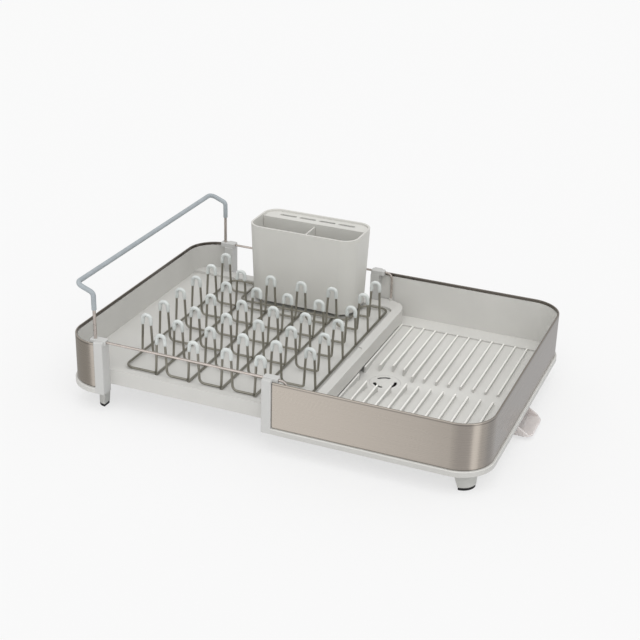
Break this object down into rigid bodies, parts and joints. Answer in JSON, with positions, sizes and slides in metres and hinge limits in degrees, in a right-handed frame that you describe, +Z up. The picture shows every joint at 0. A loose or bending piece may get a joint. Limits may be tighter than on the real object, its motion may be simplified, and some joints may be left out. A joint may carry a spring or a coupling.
{
  "type": "expandable dish rack",
  "caption": "Dish rack of two telescoping trays with steel bands, a swivelling drain spout, a lift-out wire plate rack, a cutlery and knife holder, side rails and a wire handle.",
  "frame": {"origin": "on the table, under the middle of the box round the extended rack", "axes": "+X to the drip tray's closed end, +Y from front to rear, +Z up"},
  "size_m": [0.5428, 0.364, 0.165],
  "materials": {
    "tray_plastic": "fine satin moulded, pale warm grey",
    "brushed_band": "horizontal brushed grain, warm",
    "cap_plastic": "satin moulded, pale grey",
    "strainer_plastic": "satin moulded",
    "spout_plastic": "satin moulded, a little translucent",
    "leg_plastic": "satin moulded",
    "foot_rubber": "matt black",
    "rail_wire": "bright drawn wire",
    "grip_sleeve": "soft matt sleeve",
    "rack_wire": "drawn stainless wire, dull",
    "tip_rubber": "soft matt tip",
    "holder_plastic": "fine satin moulded"
  },
  "bodies": {
    "outer": {"outer_tray": "tray_plastic", "outer_steel_band": "brushed_band", "outer_post_front": "tray_plastic", "outer_post_rear": "tray_plastic", "outer_cap_front": "cap_plastic", "outer_cap_rear": "cap_plastic", "drain_strainer": "strainer_plastic", "spout_retainer": "spout_plastic", "outer_foot_front": "leg_plastic", "outer_foot_rear": "leg_plastic", "outer_pad_front": "foot_rubber", "outer_pad_rear": "foot_rubber"},
    "inner": {"inner_tray": "tray_plastic", "inner_steel_band": "brushed_band", "inner_post_front": "tray_plastic", "inner_post_rear": "tray_plastic", "inner_cap_front": "cap_plastic", "inner_cap_rear": "cap_plastic", "rail_front": "rail_wire", "rail_rear": "rail_wire", "handle_wire": "rail_wire", "handle_sleeve": "grip_sleeve", "inner_foot_front": "leg_plastic", "inner_foot_rear": "leg_plastic", "inner_pad_front": "foot_rubber", "inner_pad_rear": "foot_rubber"},
    "spout": {"spout": "spout_plastic"},
    "plate_rack": {"rack_frame": "rack_wire", "prong_row_1": "rack_wire", "prong_row_2": "rack_wire", "prong_row_3": "rack_wire", "prong_row_4": "rack_wire", "prong_row_5": "rack_wire", "prong_row_6": "rack_wire", "prong_row_7": "rack_wire", "rack_rail_1": "rack_wire", "rack_rail_2": "rack_wire", "rack_rail_3": "rack_wire", "rack_rail_4": "rack_wire", "tips_row_1": "tip_rubber", "tips_row_2": "tip_rubber", "tips_row_3": "tip_rubber", "tips_row_4": "tip_rubber", "tips_row_5": "tip_rubber", "tips_row_6": "tip_rubber", "tips_row_7": "tip_rubber"},
    "cutlery": {"cutlery_cup": "holder_plastic", "cutlery_divider": "holder_plastic", "knife_guard": "holder_plastic"}
  },
  "joints": [
    {"name": "tray_slide", "type": "slide", "parent": "outer", "child": "inner", "axis": [1, 0, 0], "range_m": [0, 0.203]},
    {"name": "spout_swivel", "type": "hinge", "parent": "outer", "child": "spout", "pos_m": [0.0774, 0, 0.0175], "axis": [0, 0, 1], "range_deg": [-90, 90]},
    {"name": "plate_rack_lift", "type": "slide", "parent": "inner", "child": "plate_rack", "axis": [0, 0, 1], "range_m": [0, 0.12]},
    {"name": "cutlery_lift", "type": "slide", "parent": "plate_rack", "child": "cutlery", "axis": [0, 0, 1], "range_m": [0, 0.12]}
  ]
}
